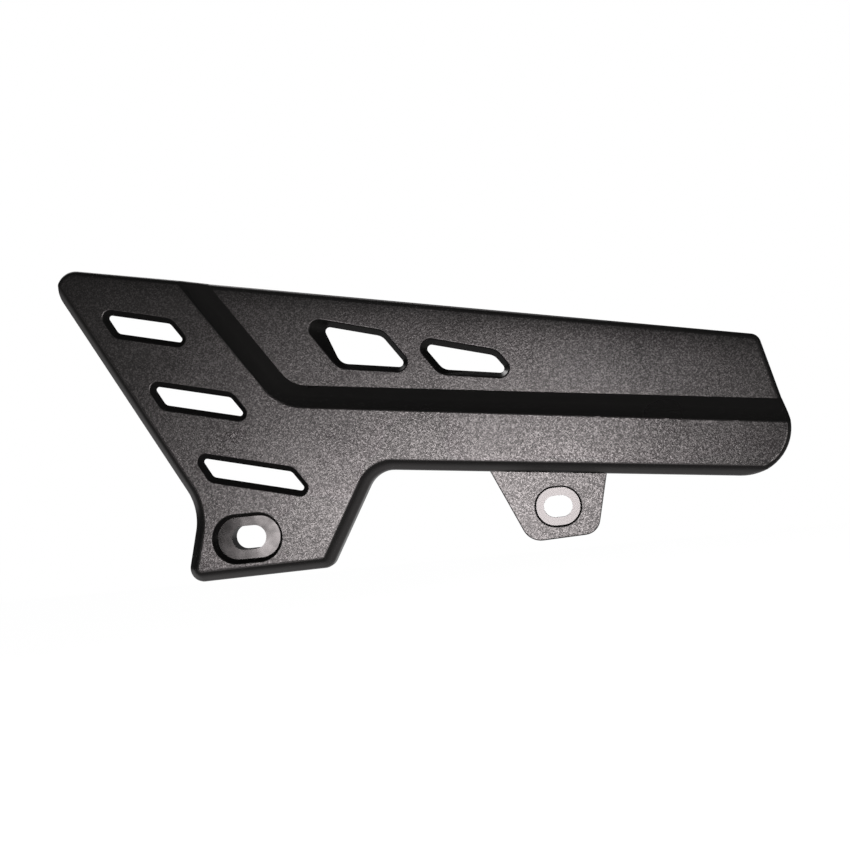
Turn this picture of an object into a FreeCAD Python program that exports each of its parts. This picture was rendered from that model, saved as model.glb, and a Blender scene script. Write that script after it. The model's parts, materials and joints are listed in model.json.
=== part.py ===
"""Motorcycle chain guard, one injection moulding.

The origin is the centre of the rear mounting slot on its seat plane. +X runs to the centre of the
front mounting slot, +Z is up and the outer face looks towards -Y. All sizes are in millimetres.
"""

import FreeCAD
import Part

import math
import os

# Depths, measured outwards from the seat plane
face_depth = 12.5
step_drop = 4.5
skirt_back = 1.0
flange_reach = 12.0

# Walls
wall = 2.8
flange_wall = 2.6
rib_wall = 1.8

# Outline: the straight sides, each by one point and its direction in degrees
heel_point = (0.0, -16.8)
heel_angle = 1.0
slope_point = (43.9, -0.4)
slope_angle = 59.3
belly_point = (89.0, 19.7)
belly_angle = -6.75
nose_point = (228.0, 39.0)
nose_angle = 103.8
top_point = (70.0, 94.6)
top_angle = 168.3
back_point = (-52.7, 73.7)
back_angle = -61.8
waist_point = (-24.5, 0.3)
waist_angle = -105.0

# Outline: the corner radii
heel_back_radius = 5.9
heel_front_radius = 5.0
belly_radius = 12.0
nose_low_radius = 19.8
nose_top_radius = 4.5
back_top_radius = 8.4
waist_radius = 24.0
least_radius = 0.6
least_slant = 0.001

# Step between the two panels, by its head: the edge at the upper panel
step_width = 9.6
step_rear_point = (8.8, 87.1)
step_rear_angle = -56.0
step_front_point = (117.7, 50.6)
step_front_angle = -7.7
step_bend_radius = 14.0
step_foot_radius = 2.0

# Edges
bevel_width = 3.8
bevel_depth = 4.5
bevel_foot_radius = 3.0
plain_edge_radius = 2.4

# Rear vents: one above the other between the back edge and the foot of the step
rear_vent_count = 3
rear_vent_margin = 11.5
rear_vent_first = 27.7
rear_vent_pitch = 37.4
rear_vent_height = 11.7
rear_vent_angle = -14.2
rear_vent_draft = 2.2
rear_vent_sharp_radius = 3.4
rear_vent_blunt_radius = 5.2

# Top vents: windows between an upper and a lower line, in a collar behind the panel
top_vent_upper = (42.4, 88.9)
top_vent_upper_angle = -16.0
top_vent_lower = (71.3, 63.9)
top_vent_lower_angle = -9.5
top_vent_ends = ((38.2, 73.8), (83.0, 118.6))
top_vent_end_angle = -55.5
top_vent_draft = 2.2
top_vent_rear_drafts = (4.4, 2.2)
top_vent_rear_leans = (-14.0, 0.0)
top_vent_depth = 6.0
top_vent_sharp_radius = 4.0
top_vent_blunt_radius = 8.0
collar_wall = 1.6
vent_rim_radius = 0.8

# Rear fixing: a deep boss behind a sunk seat
rear_slot_length = 15.0
rear_slot_width = 10.2
rear_recess_length = 30.2
rear_recess_width = 20.8
rear_recess_depth = 4.0
rear_recess_draft = 1.4
rear_recess_rim_radius = 0.6
boss_wall = 3.2

# Front fixing: a thin lug below the belly
slot_spacing = 132.7
front_slot_length = 12.2
front_slot_width = 9.2
front_recess_length = 20.2
front_recess_width = 17.6
front_recess_depth = 1.0
front_recess_draft = 0.8
lug_thickness = 3.0
lug_root = 8.0
lug_rear_reach = 19.5
lug_rear_angle = -66.5
lug_base_drop = 13.5
lug_base_angle = 2.2
lug_front_reach = 18.8
lug_front_angle = 76.2
lug_rear_radius = 8.4
lug_front_radius = 7.0
lug_edge_radius = 0.5
gusset_spacing = 20.0

# Ribs behind the face
rib_back = 2.5
boss_rib_waist_angle = -172.0
boss_rib_heel_angles = (-130.0, -50.0)
boss_rib_slope_angle = 12.0
arm_rib_places = (150.0, 178.0, 206.0)

# Flange over the chain
flange_end_gap = 16.0
flange_end_slant = 14.0
flange_corner_radius = 5.0

panel_front = -face_depth
upper_front = step_drop - face_depth
run_out = 40.0
overlap = 1.0


def on_line(point, angle, distance):
    """The point at a distance from another, in the direction of an angle in degrees."""
    turn = math.radians(angle)
    return point[0] + distance * math.cos(turn), point[1] + distance * math.sin(turn)


def shifted(line, inset):
    """The line moved to its left by inset."""
    point, angle = line
    return on_line(point, angle + 90.0, inset), angle


def crossing(first, second):
    """The point where two lines cross, each given by a point and an angle in degrees."""
    (x1, z1), first_angle = first
    (x2, z2), second_angle = second
    ux, uz = on_line((0.0, 0.0), first_angle, 1.0)
    vx, vz = on_line((0.0, 0.0), second_angle, 1.0)
    along = ((x2 - x1) * vz - (z2 - z1) * vx) / (ux * vz - uz * vx)
    return on_line((x1, z1), first_angle, along)


def at(point, depth):
    return FreeCAD.Vector(point[0], depth, point[1])


def outline(sides, radii, insets, depth):
    """A closed wire at a depth, with radius k where side k meets the next one.

    The sides run anticlockwise with the inside on their left. A corner that turns left gives up
    radius as its sides move in, and one that turns right gains it. Radius 0 is a sharp corner.
    """
    lines = [shifted(side, inset) for side, inset in zip(sides, insets)]
    count = len(lines)
    corners = []
    for k, (here, radius) in enumerate(zip(lines, radii)):
        after = lines[(k + 1) % count]
        turn = (after[1] - here[1] + 180.0) % 360.0 - 180.0
        if radius:
            moved = (insets[k] + insets[(k + 1) % count]) / 2
            radius = max(radius - moved * math.copysign(1.0, turn), least_radius)
        corner = crossing(here, after)
        half_turn = math.radians(abs(turn)) / 2
        cut = radius * math.tan(half_turn)
        bulge = radius * (1 / math.cos(half_turn) - 1)
        inwards = here[1] + turn / 2 + math.copysign(90.0, turn)
        first = on_line(corner, here[1], -cut)
        middle = on_line(corner, inwards, bulge)
        last = on_line(corner, after[1], cut)
        corners.append((radius, first, middle, last))
    edges = []
    for k, (radius, first, middle, last) in enumerate(corners):
        edges.append(Part.makeLine(at(corners[k - 1][3], depth), at(first, depth)))
        if radius:
            arc = Part.Arc(at(first, depth), at(middle, depth), at(last, depth))
            edges.append(arc.toShape())
    return Part.Wire(edges)


def prism(wire, depth):
    """The wire's area run to a depth."""
    return Part.Face(wire).extrude(FreeCAD.Vector(0, depth - wire.BoundBox.YMin, 0))


def parallel(first, second):
    across = first.tangentAt(first.FirstParameter).cross(second.tangentAt(second.FirstParameter))
    return across.Length < least_slant


def sloped_block(front_wire, back_wire):
    """A block between two wires of like edges, at two depths."""
    faces = [Part.Face(front_wire), Part.Face(back_wire)]
    for near, far in zip(front_wire.Edges, back_wire.Edges):
        if near.Curve.TypeId == "Part::GeomLine" and parallel(near, far):
            first, last = (corner.Point for corner in near.Vertexes)
            start, end = (corner.Point for corner in far.Vertexes)
            faces.append(Part.Face(Part.makePolygon([first, last, end, start, first])))
        else:
            faces.append(Part.makeRuledSurface(near, far))
    skin = Part.makeShell(faces)
    skin.sewShape()
    block = Part.makeSolid(skin)
    if block.Volume < 0:
        block.reverse()
    return block


def obround(centre_x, length, width, depth):
    """A slot's outline about a point of the row axis, its long way along X."""
    radius = width / 2
    left = centre_x - length / 2 + radius
    right = centre_x + length / 2 - radius
    top = Part.makeLine(at((right, radius), depth), at((left, radius), depth))
    bottom = Part.makeLine(at((left, -radius), depth), at((right, -radius), depth))
    left_end = Part.Arc(
        at((left, radius), depth), at((left - radius, 0), depth), at((left, -radius), depth)
    )
    right_end = Part.Arc(
        at((right, -radius), depth), at((right + radius, 0), depth), at((right, radius), depth)
    )
    return Part.Wire([top, left_end.toShape(), bottom, right_end.toShape()])


def slope_shift(width, depth, thickness):
    """How far a slope moves sideways when it and its depths go back by a wall's thickness."""
    return thickness * (math.hypot(width, depth) - width) / depth


heel = (heel_point, heel_angle)
slope = (slope_point, slope_angle)
belly = (belly_point, belly_angle)
nose = (nose_point, nose_angle)
top = (top_point, top_angle)
back = (back_point, back_angle)
waist = (waist_point, waist_angle)
body_sides = [heel, slope, belly, nose, top, back, waist]
body_radii = [
    heel_front_radius,
    belly_radius,
    nose_low_radius,
    nose_top_radius,
    back_top_radius,
    waist_radius,
    heel_back_radius,
]
step_rear = (step_rear_point, step_rear_angle)
step_front = (step_front_point, step_front_angle)


def body_rim(inset, depth):
    """The guard's outline, moved in by inset, at a depth."""
    return outline(body_sides, body_radii, [inset] * len(body_sides), depth)


def bevel_block(inset, thickness):
    """Everything inside the bevel, which runs straight off past the plain top and nose."""
    radii = [heel_front_radius, belly_radius, 0.0, 0.0, 0.0, waist_radius, heel_back_radius]
    shift = slope_shift(bevel_width, bevel_depth, thickness)

    def level(bevelled, depth):
        insets = [bevelled] * 3 + [inset - run_out] * 2 + [bevelled] * 2
        return outline(body_sides, radii, insets, depth)

    front = level(shift + bevel_width, panel_front + thickness)
    foot = level(shift, panel_front + thickness + bevel_depth)
    return sloped_block(front, foot).fuse(prism(foot, 0.0))


def step_outline(moved, depth):
    """The area beyond the step: its two lines moved towards the lower panel, and a far corner."""
    far_nose = ((nose_point[0] + run_out, 0.0), 90.0)
    far_top = ((0.0, back_point[1] + 2 * run_out), 180.0)
    sides = [step_rear, step_front, far_nose, far_top]
    radii = [step_bend_radius, 0.0, 0.0, 0.0]
    return outline(sides, radii, [-moved, -moved, 0.0, 0.0], depth)


def step_space(thickness):
    """The space in front of the upper panel, down to the slope of the step."""
    shift = slope_shift(step_width, step_drop, thickness)
    front = panel_front + thickness
    foot = step_outline(shift + step_width, front)
    head = step_outline(shift, front + step_drop)
    lead = step_outline(shift + step_width, front - overlap)
    return sloped_block(foot, head).fuse(prism(lead, front))


def rounded(body, wires, radius):
    """The body with a round on each edge that lies along one of the wires."""
    edges = []
    for edge in body.Edges:
        middle = Part.Vertex(edge.valueAt((edge.FirstParameter + edge.LastParameter) / 2))
        if min(wire.distToShape(middle)[0] for wire in wires) < least_radius / 10:
            edges.append(edge)
    return body.makeFillet(radius, edges)


def rim_block(inset, front, back_depth, edge_radius):
    """The guard's outline run back from a depth, with its front edge rounded if it has a radius."""
    block = prism(body_rim(inset, front), back_depth)
    return rounded(block, [body_rim(inset, front)], edge_radius) if edge_radius else block


def guard_block(inset, thickness, back_depth, edge_radius):
    """The guard's solid outer form, or the same form a wall's thickness further in."""
    shift = slope_shift(step_width, step_drop, thickness)
    beyond_step = prism(step_outline(shift, panel_front - overlap), flange_reach)
    raised = rim_block(inset, panel_front + thickness, back_depth, edge_radius)
    lower = raised.cut([beyond_step, step_space(thickness)])
    upper = rim_block(inset, upper_front + thickness, back_depth, edge_radius)
    block = lower.fuse(upper.common(beyond_step))
    return block.common(bevel_block(inset, thickness)).removeSplitter()


def shell():
    """The hollow moulding, its step rounded where it meets the raised panel."""
    outer = guard_block(0.0, 0.0, -skirt_back, plain_edge_radius)
    outer = rounded(outer, [step_outline(step_width, panel_front)], step_foot_radius)
    return outer.cut(guard_block(wall, wall, 0.0, 0.0))


def flange():
    """The deep wall over the chain, with slanted ends that stop short of the guard's corners."""
    foot = upper_front + wall
    ring = prism(body_rim(0.0, foot), flange_reach)
    ring = ring.cut(prism(body_rim(flange_wall, foot), flange_reach))
    rear_end = crossing(top, back)
    length = math.dist(rear_end, crossing(nose, top))
    profile = [
        (flange_end_gap, foot),
        (length - flange_end_gap, foot),
        (length - flange_end_gap, -skirt_back),
        (length - flange_end_gap - flange_end_slant, flange_reach),
        (flange_end_gap + flange_end_slant, flange_reach),
        (flange_end_gap, -skirt_back),
    ]
    strip_depth = 2 * flange_wall
    low_start = on_line(rear_end, top_angle + 90.0, strip_depth)
    corners = [at(on_line(low_start, top_angle + 180.0, along), depth) for along, depth in profile]
    face = Part.Face(Part.makePolygon(corners + corners[:1]))
    rise = on_line((0.0, 0.0), top_angle - 90.0, 2 * strip_depth)
    keep = face.extrude(at(rise, 0.0))
    uprights = [
        edge
        for edge in keep.Edges
        if all(abs(corner.Y - flange_reach) < overlap / 10 for corner in edge.Vertexes)
        and edge.Length < 3 * strip_depth
    ]
    return ring.common(keep.makeFillet(flange_corner_radius, uprights))


def line_height(line, x):
    (px, pz), angle = line
    return pz + (x - px) * math.tan(math.radians(angle))


def rear_vent_place(k):
    """The middle of rear vent k's rear end."""
    start = crossing(top, shifted(back, rear_vent_margin))
    return on_line(start, back_angle, rear_vent_first + k * rear_vent_pitch)


def rear_vent_sides(k):
    """Side lines of rear vent k: lower, front, upper, rear. Both ends keep the margin."""
    rear_end = shifted(back, rear_vent_margin)
    step_foot = shifted(step_rear, -step_width)
    front_end = shifted(step_foot, -rear_vent_margin)
    centre = (rear_vent_place(k), rear_vent_angle)
    lower = shifted(centre, -rear_vent_height / 2)
    upper = shifted(centre, rear_vent_height / 2)
    return [
        lower,
        (front_end[0], step_rear_angle + 180.0),
        (upper[0], rear_vent_angle + 180.0),
        rear_end,
    ]


def top_vent_sides(k, rear_draft, rear_lean):
    """Side lines of top vent k, its ends crossing the middle height at two places along X."""
    upper = (top_vent_upper, top_vent_upper_angle)
    lower = (top_vent_lower, top_vent_lower_angle)
    rear_end, front_end = [
        ((x, (line_height(upper, x) + line_height(lower, x)) / 2), top_vent_end_angle)
        for x in top_vent_ends[k]
    ]
    return [
        lower,
        (front_end[0], top_vent_end_angle + 180.0),
        (upper[0], top_vent_upper_angle + 180.0),
        (shifted(rear_end, rear_draft)[0], top_vent_end_angle + rear_lean),
    ]


def rear_vent_rim(k, inset, depth):
    radii = [rear_vent_sharp_radius, rear_vent_blunt_radius] * 2
    return outline(rear_vent_sides(k), radii, [inset] * 4, depth)


def top_vent_rim(k, inset, depth):
    radii = [top_vent_sharp_radius, top_vent_blunt_radius] * 2
    return outline(top_vent_sides(k, 0.0, 0.0), radii, [inset] * 4, depth)


def top_vent_throat(k, depth):
    """The narrow back outline of top vent k, whose rear side slopes more and may lean."""
    sides = top_vent_sides(k, top_vent_rear_drafts[k] - top_vent_draft, top_vent_rear_leans[k])
    radii = [top_vent_sharp_radius, top_vent_blunt_radius] * 2
    return outline(sides, radii, [top_vent_draft] * 4, depth)


def vent_cutter(lead, rim, throat):
    """A vent's open space, narrowing from rim to throat, and run out past both faces."""
    cutter = sloped_block(rim, throat).fuse(prism(throat, flange_reach))
    return cutter.fuse(prism(lead, rim.BoundBox.YMin))


def vents():
    cutters = []
    for k in range(rear_vent_count):
        lead = rear_vent_rim(k, 0.0, panel_front - overlap)
        throat = rear_vent_rim(k, rear_vent_draft, panel_front + wall)
        cutters.append(vent_cutter(lead, rear_vent_rim(k, 0.0, panel_front), throat))
    for k in range(len(top_vent_ends)):
        lead = top_vent_rim(k, 0.0, upper_front - overlap)
        throat = top_vent_throat(k, upper_front + top_vent_depth)
        cutters.append(vent_cutter(lead, top_vent_rim(k, 0.0, upper_front), throat))
    return cutters


def top_vent_collars():
    """The walls behind the upper panel that carry the top vents' slanting sides."""
    collars = []
    for k in range(len(top_vent_ends)):
        edge = top_vent_rim(k, -collar_wall, upper_front + wall / 2)
        collars.append(prism(edge, upper_front + top_vent_depth))
    return collars


def rear_seat():
    """The floor under the sunk seat and the deep boss behind it."""
    floor = rear_recess_depth - face_depth
    length = rear_recess_length - 2 * rear_recess_draft + 2 * wall
    width = rear_recess_width - 2 * rear_recess_draft + 2 * wall
    pad = prism(obround(0.0, length, width, panel_front + wall / 2), floor + wall)
    boss = obround(
        0.0, rear_slot_length + 2 * boss_wall, rear_slot_width + 2 * boss_wall, floor + wall / 2
    )
    return pad.fuse(prism(boss, 0.0))


def lug_rim(depth):
    """The lug's outline at a depth. Its root lies behind the belly's skirt."""
    root = shifted((belly_point, belly_angle + 180.0), -lug_root)
    sides = [
        ((slot_spacing - lug_rear_reach, 0.0), lug_rear_angle),
        ((slot_spacing, -lug_base_drop), lug_base_angle),
        ((slot_spacing + lug_front_reach, 0.0), lug_front_angle),
        root,
    ]
    radii = [lug_rear_radius, lug_front_radius, 0.0, 0.0]
    return outline(sides, radii, [0.0] * 4, depth)


def rib(start, end, depth):
    """A thin wall between two points of the face, from inside the panel to a depth."""
    angle = math.degrees(math.atan2(end[1] - start[1], end[0] - start[0]))
    line = (start, angle)
    low, high = shifted(line, -rib_wall / 2)[0], shifted(line, rib_wall / 2)[0]
    length = math.dist(start, end)
    corners = [low, on_line(low, angle, length), on_line(high, angle, length), high]
    points = [at(corner, panel_front) for corner in corners]
    return prism(Part.makePolygon(points + points[:1]), depth)


def boss_ribs():
    """Ribs from the rear boss out to the skirt."""
    centre = (0.0, 0.0)
    aims = [(boss_rib_waist_angle, waist), (boss_rib_slope_angle, slope)]
    aims += [(angle, heel) for angle in boss_rib_heel_angles]
    return [rib(centre, crossing((centre, angle), side), -rib_back) for angle, side in aims]


def vent_ribs():
    """Ribs midway between the rear vents, from the back edge to the step."""
    ribs = []
    for k in range(rear_vent_count - 1):
        middle = (rear_vent_place(k + 1 / 2), rear_vent_angle)
        ribs.append(rib(crossing(back, middle), crossing(step_rear, middle), -rib_back))
    return ribs


def arm_ribs():
    """Upright ribs across the arm, square to its lower edge."""
    ribs = []
    for x in arm_rib_places:
        foot = (x, line_height(belly, x))
        head = on_line(foot, belly_angle + 90.0, 2 * run_out)
        ribs.append(rib(foot, head, -rib_back))
    return ribs


def gussets():
    """Two ribs that brace the lug's root against the panel."""
    ribs = []
    for side in (-1, 1):
        x = slot_spacing + side * gusset_spacing / 2
        foot = (x, line_height(belly, x))
        ribs.append(rib(foot, on_line(foot, belly_angle + 90.0, lug_root), -lug_thickness / 2))
    return ribs


def vent_rims():
    """The outlines of all the vents at the panels' fronts."""
    rims = [rear_vent_rim(k, 0.0, panel_front) for k in range(rear_vent_count)]
    return rims + [top_vent_rim(k, 0.0, upper_front) for k in range(len(top_vent_ends))]


def rear_recess_rim(inset, depth):
    length = rear_recess_length - 2 * inset
    return obround(0.0, length, rear_recess_width - 2 * inset, panel_front + depth)


def front_recess_rim(inset, depth):
    length = front_recess_length - 2 * inset
    return obround(slot_spacing, length, front_recess_width - 2 * inset, depth - lug_thickness)


def fixing_cutters():
    """The spaces of both sunk seats and of the slots through them."""
    rear = sloped_block(
        rear_recess_rim(0.0, 0.0), rear_recess_rim(rear_recess_draft, rear_recess_depth)
    )
    front = sloped_block(
        front_recess_rim(0.0, 0.0), front_recess_rim(front_recess_draft, front_recess_depth)
    )
    lead = panel_front - overlap
    return [
        rear.fuse(prism(rear_recess_rim(0.0, -overlap), panel_front)),
        front.fuse(prism(front_recess_rim(0.0, -overlap), -lug_thickness)),
        prism(obround(0.0, rear_slot_length, rear_slot_width, lead), overlap),
        prism(obround(slot_spacing, front_slot_length, front_slot_width, lead), overlap),
    ]


def guard():
    outer = guard_block(0.0, 0.0, 0.0, plain_edge_radius)
    ribs = boss_ribs() + vent_ribs() + arm_ribs() + gussets()
    added = [flange(), rear_seat(), prism(lug_rim(-lug_thickness), 0.0)]
    added += top_vent_collars()
    added += [piece.common(outer) for piece in ribs]
    body = shell().multiFuse(added).cut(vents() + fixing_cutters()).removeSplitter()
    body = rounded(body, vent_rims(), vent_rim_radius)
    body = rounded(body, [rear_recess_rim(0.0, 0.0)], rear_recess_rim_radius)
    body = rounded(body, [lug_rim(-lug_thickness)], lug_edge_radius)
    return rounded(body, [body_rim(0.0, panel_front + bevel_depth)], bevel_foot_radius)


os.makedirs("parts", exist_ok=True)
guard().exportStep("parts/chain_guard.step")
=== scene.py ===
import json
import math

import bpy
from mathutils import Matrix, Vector


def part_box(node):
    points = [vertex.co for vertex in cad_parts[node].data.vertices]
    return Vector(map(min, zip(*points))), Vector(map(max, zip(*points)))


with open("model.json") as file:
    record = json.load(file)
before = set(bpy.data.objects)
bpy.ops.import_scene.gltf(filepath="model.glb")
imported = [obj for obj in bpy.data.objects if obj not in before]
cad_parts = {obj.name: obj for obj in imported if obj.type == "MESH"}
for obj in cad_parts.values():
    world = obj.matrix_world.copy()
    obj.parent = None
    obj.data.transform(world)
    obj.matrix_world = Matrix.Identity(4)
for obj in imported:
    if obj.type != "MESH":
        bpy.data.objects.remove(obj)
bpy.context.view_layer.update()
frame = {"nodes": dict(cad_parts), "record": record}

scene = bpy.context.scene


# The chain guard: one injection moulding in black glass-filled nylon, held by its two slots.
# The mould is spark eroded where it makes the two panels and the lug, so they have a fine grain.
# The rest is satin, and the rear seat is the smoothest. The walls of the slots and vents and the
# heads of the bevels lose sheen, as painted shade.
class Field:
    """A node's output. Arithmetic on it adds Math nodes, and make adds any other node."""

    def __init__(self, tree, socket):
        self.tree = tree
        self.socket = socket

    @classmethod
    def make(cls, tree, kind, output=0, settings=None, **inputs):
        """Adds a node. An input named _0 is a socket's number, and any other is its name."""
        made = tree.nodes.new(kind)
        for name, value in (settings or {}).items():
            setattr(made, name, value)
        for name, value in inputs.items():
            key = int(name[1:]) if name[0] == "_" else name.replace("_", " ")
            if isinstance(value, Field):
                tree.links.new(value.socket, made.inputs[key])
            else:
                made.inputs[key].default_value = value
        return cls(tree, made.outputs[output])

    def reckon(self, operation, first, second=0.0):
        settings = {"operation": operation}
        return Field.make(self.tree, "ShaderNodeMath", 0, settings, _0=first, _1=second)

    def __add__(self, other):
        return self.reckon("ADD", self, other)

    def __sub__(self, other):
        return self.reckon("SUBTRACT", self, other)

    def __mul__(self, other):
        return self.reckon("MULTIPLY", self, other)

    def __rsub__(self, other):
        return self.reckon("SUBTRACT", other, self)

    def __lt__(self, other):
        return self.reckon("LESS_THAN", self, other)

    def __gt__(self, other):
        return self.reckon("GREATER_THAN", self, other)

    def __abs__(self):
        return self.reckon("ABSOLUTE", self)

    def exponential(self):
        return self.reckon("EXPONENT", self)

    __radd__ = __add__
    __rmul__ = __mul__


def surface(name):
    """A new material and its tree, with no shader yet."""
    material = bpy.data.materials.new(name)
    material.use_nodes = True
    material.node_tree.nodes.clear()
    return material, material.node_tree


def show(shader, output="ShaderNodeOutputMaterial"):
    """Joins a finished shader to a new output node of its tree."""
    tree = shader.tree
    tree.links.new(shader.socket, tree.nodes.new(output).inputs["Surface"])


def grey(value):
    return (value, value, value, 1.0)


def between(value, low, high):
    return (value > low) * (value < high)


guard = frame["nodes"]["chain_guard"]
black, tree = surface("black_plastic")
place = Field.make(tree, "ShaderNodeTexCoord", "Object")
along_x, depth, height = [
    Field.make(tree, "ShaderNodeSeparateXYZ", axis, Vector=place) for axis in ("X", "Y", "Z")
]
normal = Field.make(tree, "ShaderNodeNewGeometry", "True Normal")

# Which way the skin faces, from -1 for outwards to 1 for the motorcycle
facing = Field.make(tree, "ShaderNodeSeparateXYZ", "Y", Vector=normal)
faces_out = facing < -0.99
faces_back = facing > 0.02
bevelled = between(facing, -0.97, -0.3)
drafted = between(facing, -0.95, 0.02)
upright = abs(facing) < 0.3

# The flat faces, by their depth in the frame
mounts = {mount["name"]: mount for mount in frame["record"]["mounts"]}
step_drop = 0.0045
lug_thickness = 0.0030
lower_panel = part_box("chain_guard")[0].y
upper_panel = lower_panel + step_drop
lug_face = -lug_thickness


def flat_at(level):
    """1 on what faces out flat at this depth, and 0 elsewhere."""
    tolerance = 0.0002
    return faces_out * (abs(depth - level) < tolerance)


grained = flat_at(lower_panel) + flat_at(upper_panel) + flat_at(lug_face)
rear_seat = flat_at(-mounts["rear_slot"]["dims"]["length_mm"] / 1000)
front_seat = flat_at(-mounts["front_slot"]["dims"]["length_mm"] / 1000)

# The head of the bevels and of the step, where they run into the lower panel. It gets painted
# shade in place of the shading of a round at the crease, which the mesh does not have.
head_starts = lower_panel + 0.0025
head_ends = lower_panel + 0.0003
near_head = Field.make(
    tree, "ShaderNodeMapRange", "Result", Value=depth, From_Min=head_starts, From_Max=head_ends
)
bevel_heads_shaded = bevelled * near_head


# The walls of the two slots, which get painted shade
def within_slot(name):
    """1 in a slot and just round it, and 0 elsewhere."""
    spare = 0.0004
    x, _, z = mounts[name]["pos_m"]
    half_length = mounts[name]["dims"]["slot_length_mm"] / 2000 + spare
    half_width = mounts[name]["dims"]["hole_r_mm"] / 1000 + spare
    return (abs(along_x - x) < half_length) * (abs(height - z) < half_width)


slot_walls = upright * (within_slot("rear_slot") + within_slot("front_slot"))


# The walls of the vents, by the areas in which the vents are; they get painted shade
def inside_of(x, z, degrees):
    """How far inside a straight side of the outline, which passes (x, z) at this angle."""
    angle = math.radians(degrees)
    return math.cos(angle) * (height - z) - math.sin(angle) * (along_x - x)


top_side = inside_of(0.0700, 0.0946, 168.3)
back_side = inside_of(-0.0527, 0.0737, -61.8)
top_round = 0.0040
rear_vents_reach = (0.0105, 0.0495)
rear_vents_foot = 0.0135
top_vents_length = (0.032, 0.128)
top_vents_height = (0.061, 0.093)
by_rear_vents = between(back_side, *rear_vents_reach) * (height > rear_vents_foot)
by_top_vents = between(along_x, *top_vents_length) * between(height, *top_vents_height)
vent_walls = drafted * (top_side > top_round) * (by_rear_vents + by_top_vents > 0.5)

# The relief: the grain's pits, and the slight crown of the face towards its top edge
grain_depth = 0.00005
crown_depth = 0.0005
crown_reach = 0.0043
pits = Field.make(
    tree, "ShaderNodeTexNoise", "Fac", Vector=place, Scale=1000.0, Detail=3.0, Roughness=0.7
)
crown = (top_side * (-1.0 / crown_reach)).exponential() * faces_out
relief = pits * grained - (crown_depth / grain_depth) * crown
bump = Field.make(
    tree, "ShaderNodeBump", "Normal", Strength=1.0, Distance=grain_depth, Height=relief
)

# The skin: satin and matt plastic, mixed by how dull each face is and by painted shade on the
# walls of the slots and vents and at the heads of the bevels
satin_roughness = 0.265
flow_roughness = 0.03
rear_seat_polish = 0.17
front_seat_polish = 0.02
flow = Field.make(tree, "ShaderNodeTexNoise", "Fac", Vector=place, Scale=30.0, Detail=3.0)
roughness = satin_roughness + flow_roughness * flow
roughness = roughness - rear_seat_polish * rear_seat - front_seat_polish * front_seat
face_black = (0.0042, 0.0041, 0.0040, 1.0)
# Painted light: the faces towards the motorcycle are the same plastic, painted lighter than the
# outer face because the lamps give them little light
back_painted_lighter = grey(0.020)
# A Mix node for colours has its factor at 0, its colours at 6 and 7, and its result at 2
colour = Field.make(
    tree, "ShaderNodeMix", 2, {"data_type": "RGBA"},
    _0=faces_back, _6=face_black, _7=back_painted_lighter,
)
satin = Field.make(
    tree, "ShaderNodeBsdfPrincipled", "BSDF",
    Base_Color=colour, Roughness=roughness, Normal=bump,
    Specular_IOR_Level=0.50, Specular_Tint=(1.0, 0.92, 0.92, 1.0),
)
matt = Field.make(
    tree, "ShaderNodeBsdfPrincipled", "BSDF",
    Base_Color=colour, Roughness=0.60, Specular_IOR_Level=0.0,
)
specks = Field.make(tree, "ShaderNodeTexVoronoi", "Color", Vector=place, Scale=2300.0)
speck = Field.make(tree, "ShaderNodeSeparateColor", "Red", Color=specks)
scuffs = Field.make(tree, "ShaderNodeTexNoise", "Fac", Vector=place, Scale=160.0, Detail=2.0)
plain_dullness = 0.50
grain_dullness = 0.39 - 0.28 * flow - 0.75 * speck * speck
rear_seat_dullness = 0.70 * scuffs - 0.18
front_seat_dullness = -0.20
# Painted shade: the walls of the slots and vents are pushed towards the matt shader so that they
# lose their sheen and look dark, as in shade
slot_wall_painted_shade = 0.30
vent_wall_painted_shade = 0.43
# Painted shade along the bevel heads: they lose sheen and look darker
bevel_head_painted_shade = 0.38
# The mix between satin and matt: the real dullness of each face, plus the painted shade on the
# walls and the bevel heads
dullness_and_shade = plain_dullness + grain_dullness * grained
dullness_and_shade = dullness_and_shade + rear_seat_dullness * rear_seat + front_seat_dullness * front_seat
dullness_and_shade = dullness_and_shade + slot_wall_painted_shade * slot_walls + vent_wall_painted_shade * vent_walls
dullness_and_shade = dullness_and_shade + bevel_head_painted_shade * bevel_heads_shaded
show(Field.make(tree, "ShaderNodeMixShader", "Shader", Fac=dullness_and_shade, _1=satin, _2=matt))
guard.data.materials.clear()
guard.data.materials.append(black)


# The floor: pale matt paper under the guard, which hangs above it by its rear seat.
# Where it is seen it glows nearly white and keeps a soft share of the guard's shadow.
# It is clear when seen from below.
def along(tree, *kinds):
    """1 on these kinds of ray and 0 on any other."""
    missed = 1.0
    for kind in kinds:
        missed = (1.0 - Field.make(tree, "ShaderNodeLightPath", kind)) * missed
    return 1.0 - missed


floor_height = -0.30
half_width = 3.0
paper, paper_tree = surface("floor_paper")
seen = along(paper_tree, "Is Camera Ray", "Is Glossy Ray", "Is Transmission Ray")
pale = Field.make(paper_tree, "ShaderNodeBsdfDiffuse", "BSDF", Color=grey(0.80))
shaded = Field.make(paper_tree, "ShaderNodeBsdfDiffuse", "BSDF", Color=grey(0.35))
glow = Field.make(paper_tree, "ShaderNodeEmission", "Emission", Color=grey(1.0), Strength=0.97)
bright = Field.make(paper_tree, "ShaderNodeAddShader", "Shader", _0=shaded, _1=glow)
topside = Field.make(paper_tree, "ShaderNodeMixShader", "Shader", Fac=seen, _1=pale, _2=bright)
below = Field.make(paper_tree, "ShaderNodeNewGeometry", "Backfacing")
clear = Field.make(paper_tree, "ShaderNodeBsdfTransparent", "BSDF")
show(Field.make(paper_tree, "ShaderNodeMixShader", "Shader", Fac=below, _1=topside, _2=clear))
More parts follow.
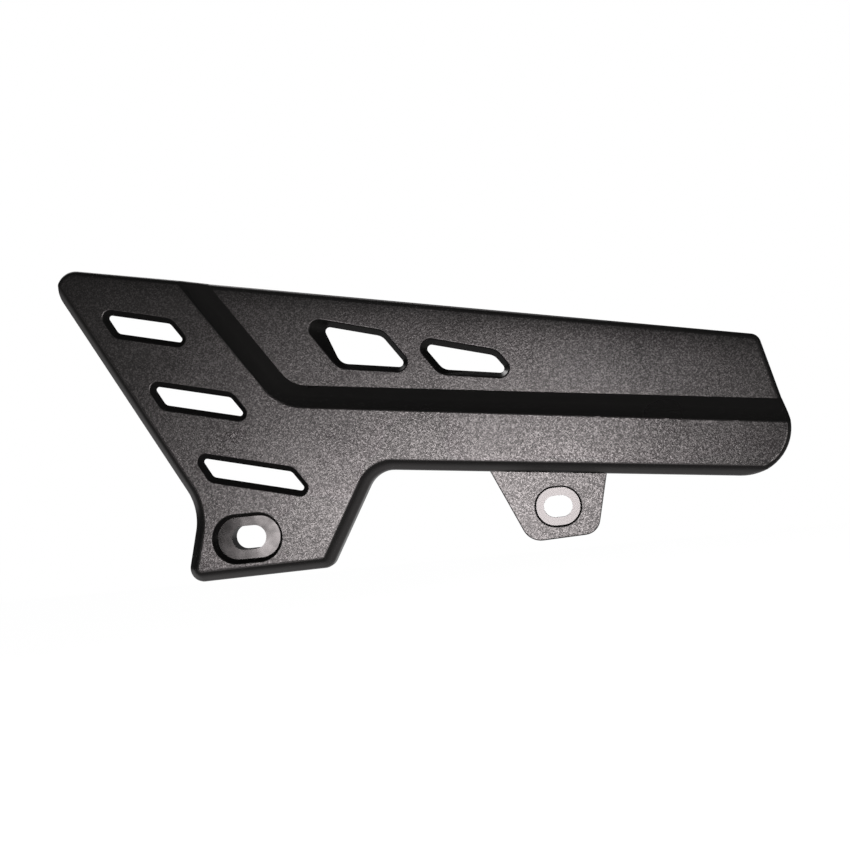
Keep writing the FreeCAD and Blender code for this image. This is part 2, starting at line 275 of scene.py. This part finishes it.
corners = [(-1, -1), (1, -1), (1, 1), (-1, 1)]
floor_mesh = bpy.data.meshes.new("floor")
floor_mesh.from_pydata(
    [(half_width * x, half_width * y, floor_height) for x, y in corners], [], [(0, 1, 2, 3)]
)
floor_mesh.materials.append(paper)
floor = bpy.data.objects.new("floor", floor_mesh)
scene.collection.objects.link(floor)

# The room: dim all round, with a white wall behind the guard.
# The camera sees all of it as white, and the guard's glossy edges pick up only the white wall.
room_light = 0.06
wall_starts = 0.94
wall_is_white = 0.99
room = bpy.data.worlds.new("room")
room.use_nodes = True
scene.world = room
air = room.node_tree
air.nodes.clear()
direction = Field.make(air, "ShaderNodeTexCoord", "Generated")
backwards = Field.make(air, "ShaderNodeSeparateXYZ", "Y", Vector=direction)
wall = Field.make(
    air, "ShaderNodeMapRange", "Result",
    Value=backwards, From_Min=wall_starts, From_Max=wall_is_white,
)
picked_up = along(air, "Is Glossy Ray") * wall
white = 1.0 - (1.0 - along(air, "Is Camera Ray", "Is Transmission Ray")) * (1.0 - picked_up)
light = room_light + (1.0 - room_light) * white
show(
    Field.make(air, "ShaderNodeBackground", "Background", Color=grey(1.0), Strength=light),
    "ShaderNodeOutputWorld",
)


# The lamps: five soft boxes. The wide front one, low and to the left of the camera, and the small
# one beside it give the panels their sheen. The one high above throws the shadow on the floor, and
# the last two light the flange and hollow from behind and the lower edges from the front.
def softbox(name, position, aim, width, height, power):
    lamp = bpy.data.lights.new(name, "AREA")
    lamp.shape = "RECTANGLE"
    lamp.size = width
    lamp.size_y = height
    lamp.energy = power
    made = bpy.data.objects.new(name, lamp)
    made.location = position
    made.rotation_mode = "QUATERNION"
    made.rotation_quaternion = (Vector(aim) - Vector(position)).to_track_quat("-Z", "Y")
    scene.collection.objects.link(made)


softbox(
    "front_softbox", (-0.031, -1.10, -0.097), aim=(-0.031, 0.0, -0.097),
    width=0.479, height=0.200, power=11.5,
)
softbox(
    "small_softbox", (0.132, -1.10, -0.026), aim=(0.132, 0.0, -0.026),
    width=0.031, height=0.040, power=2.1,
)
softbox(
    "high_softbox", (0.10, 0.50, 1.20), aim=(0.08, 0.0, 0.0),
    width=0.60, height=0.60, power=3.0,
)
softbox(
    "back_softbox", (-0.60, 0.70, 0.90), aim=(0.08, 0.0, 0.04),
    width=1.00, height=1.00, power=16.0,
)
softbox(
    "low_softbox", (0.75, -0.85, -0.20), aim=(0.08, 0.0, 0.04),
    width=0.15, height=0.15, power=5.0,
)

# The camera: on the outer face's side, half a metre off and a little towards the guard's front.
# It is rolled by six degrees, as the photograph was taken.
eye = Vector((0.1381, -0.5595, 0.03405))
target = Vector((0.08093, -0.0125, 0.04005))
roll = math.radians(5.99)
upwards = Vector((math.sin(roll), 0.0, math.cos(roll)))
camera_data = bpy.data.cameras.new("camera")
camera_data.sensor_width = 36.0
camera_data.lens = 55.46
camera = bpy.data.objects.new("camera", camera_data)
scene.collection.objects.link(camera)
scene.camera = camera
ahead = (target - eye).normalized()
right = ahead.cross(upwards).normalized()
turn = Matrix((right, right.cross(ahead), -ahead)).transposed()
camera.matrix_world = Matrix.Translation(eye) @ turn.to_4x4()

scene.view_settings.view_transform = "Standard"
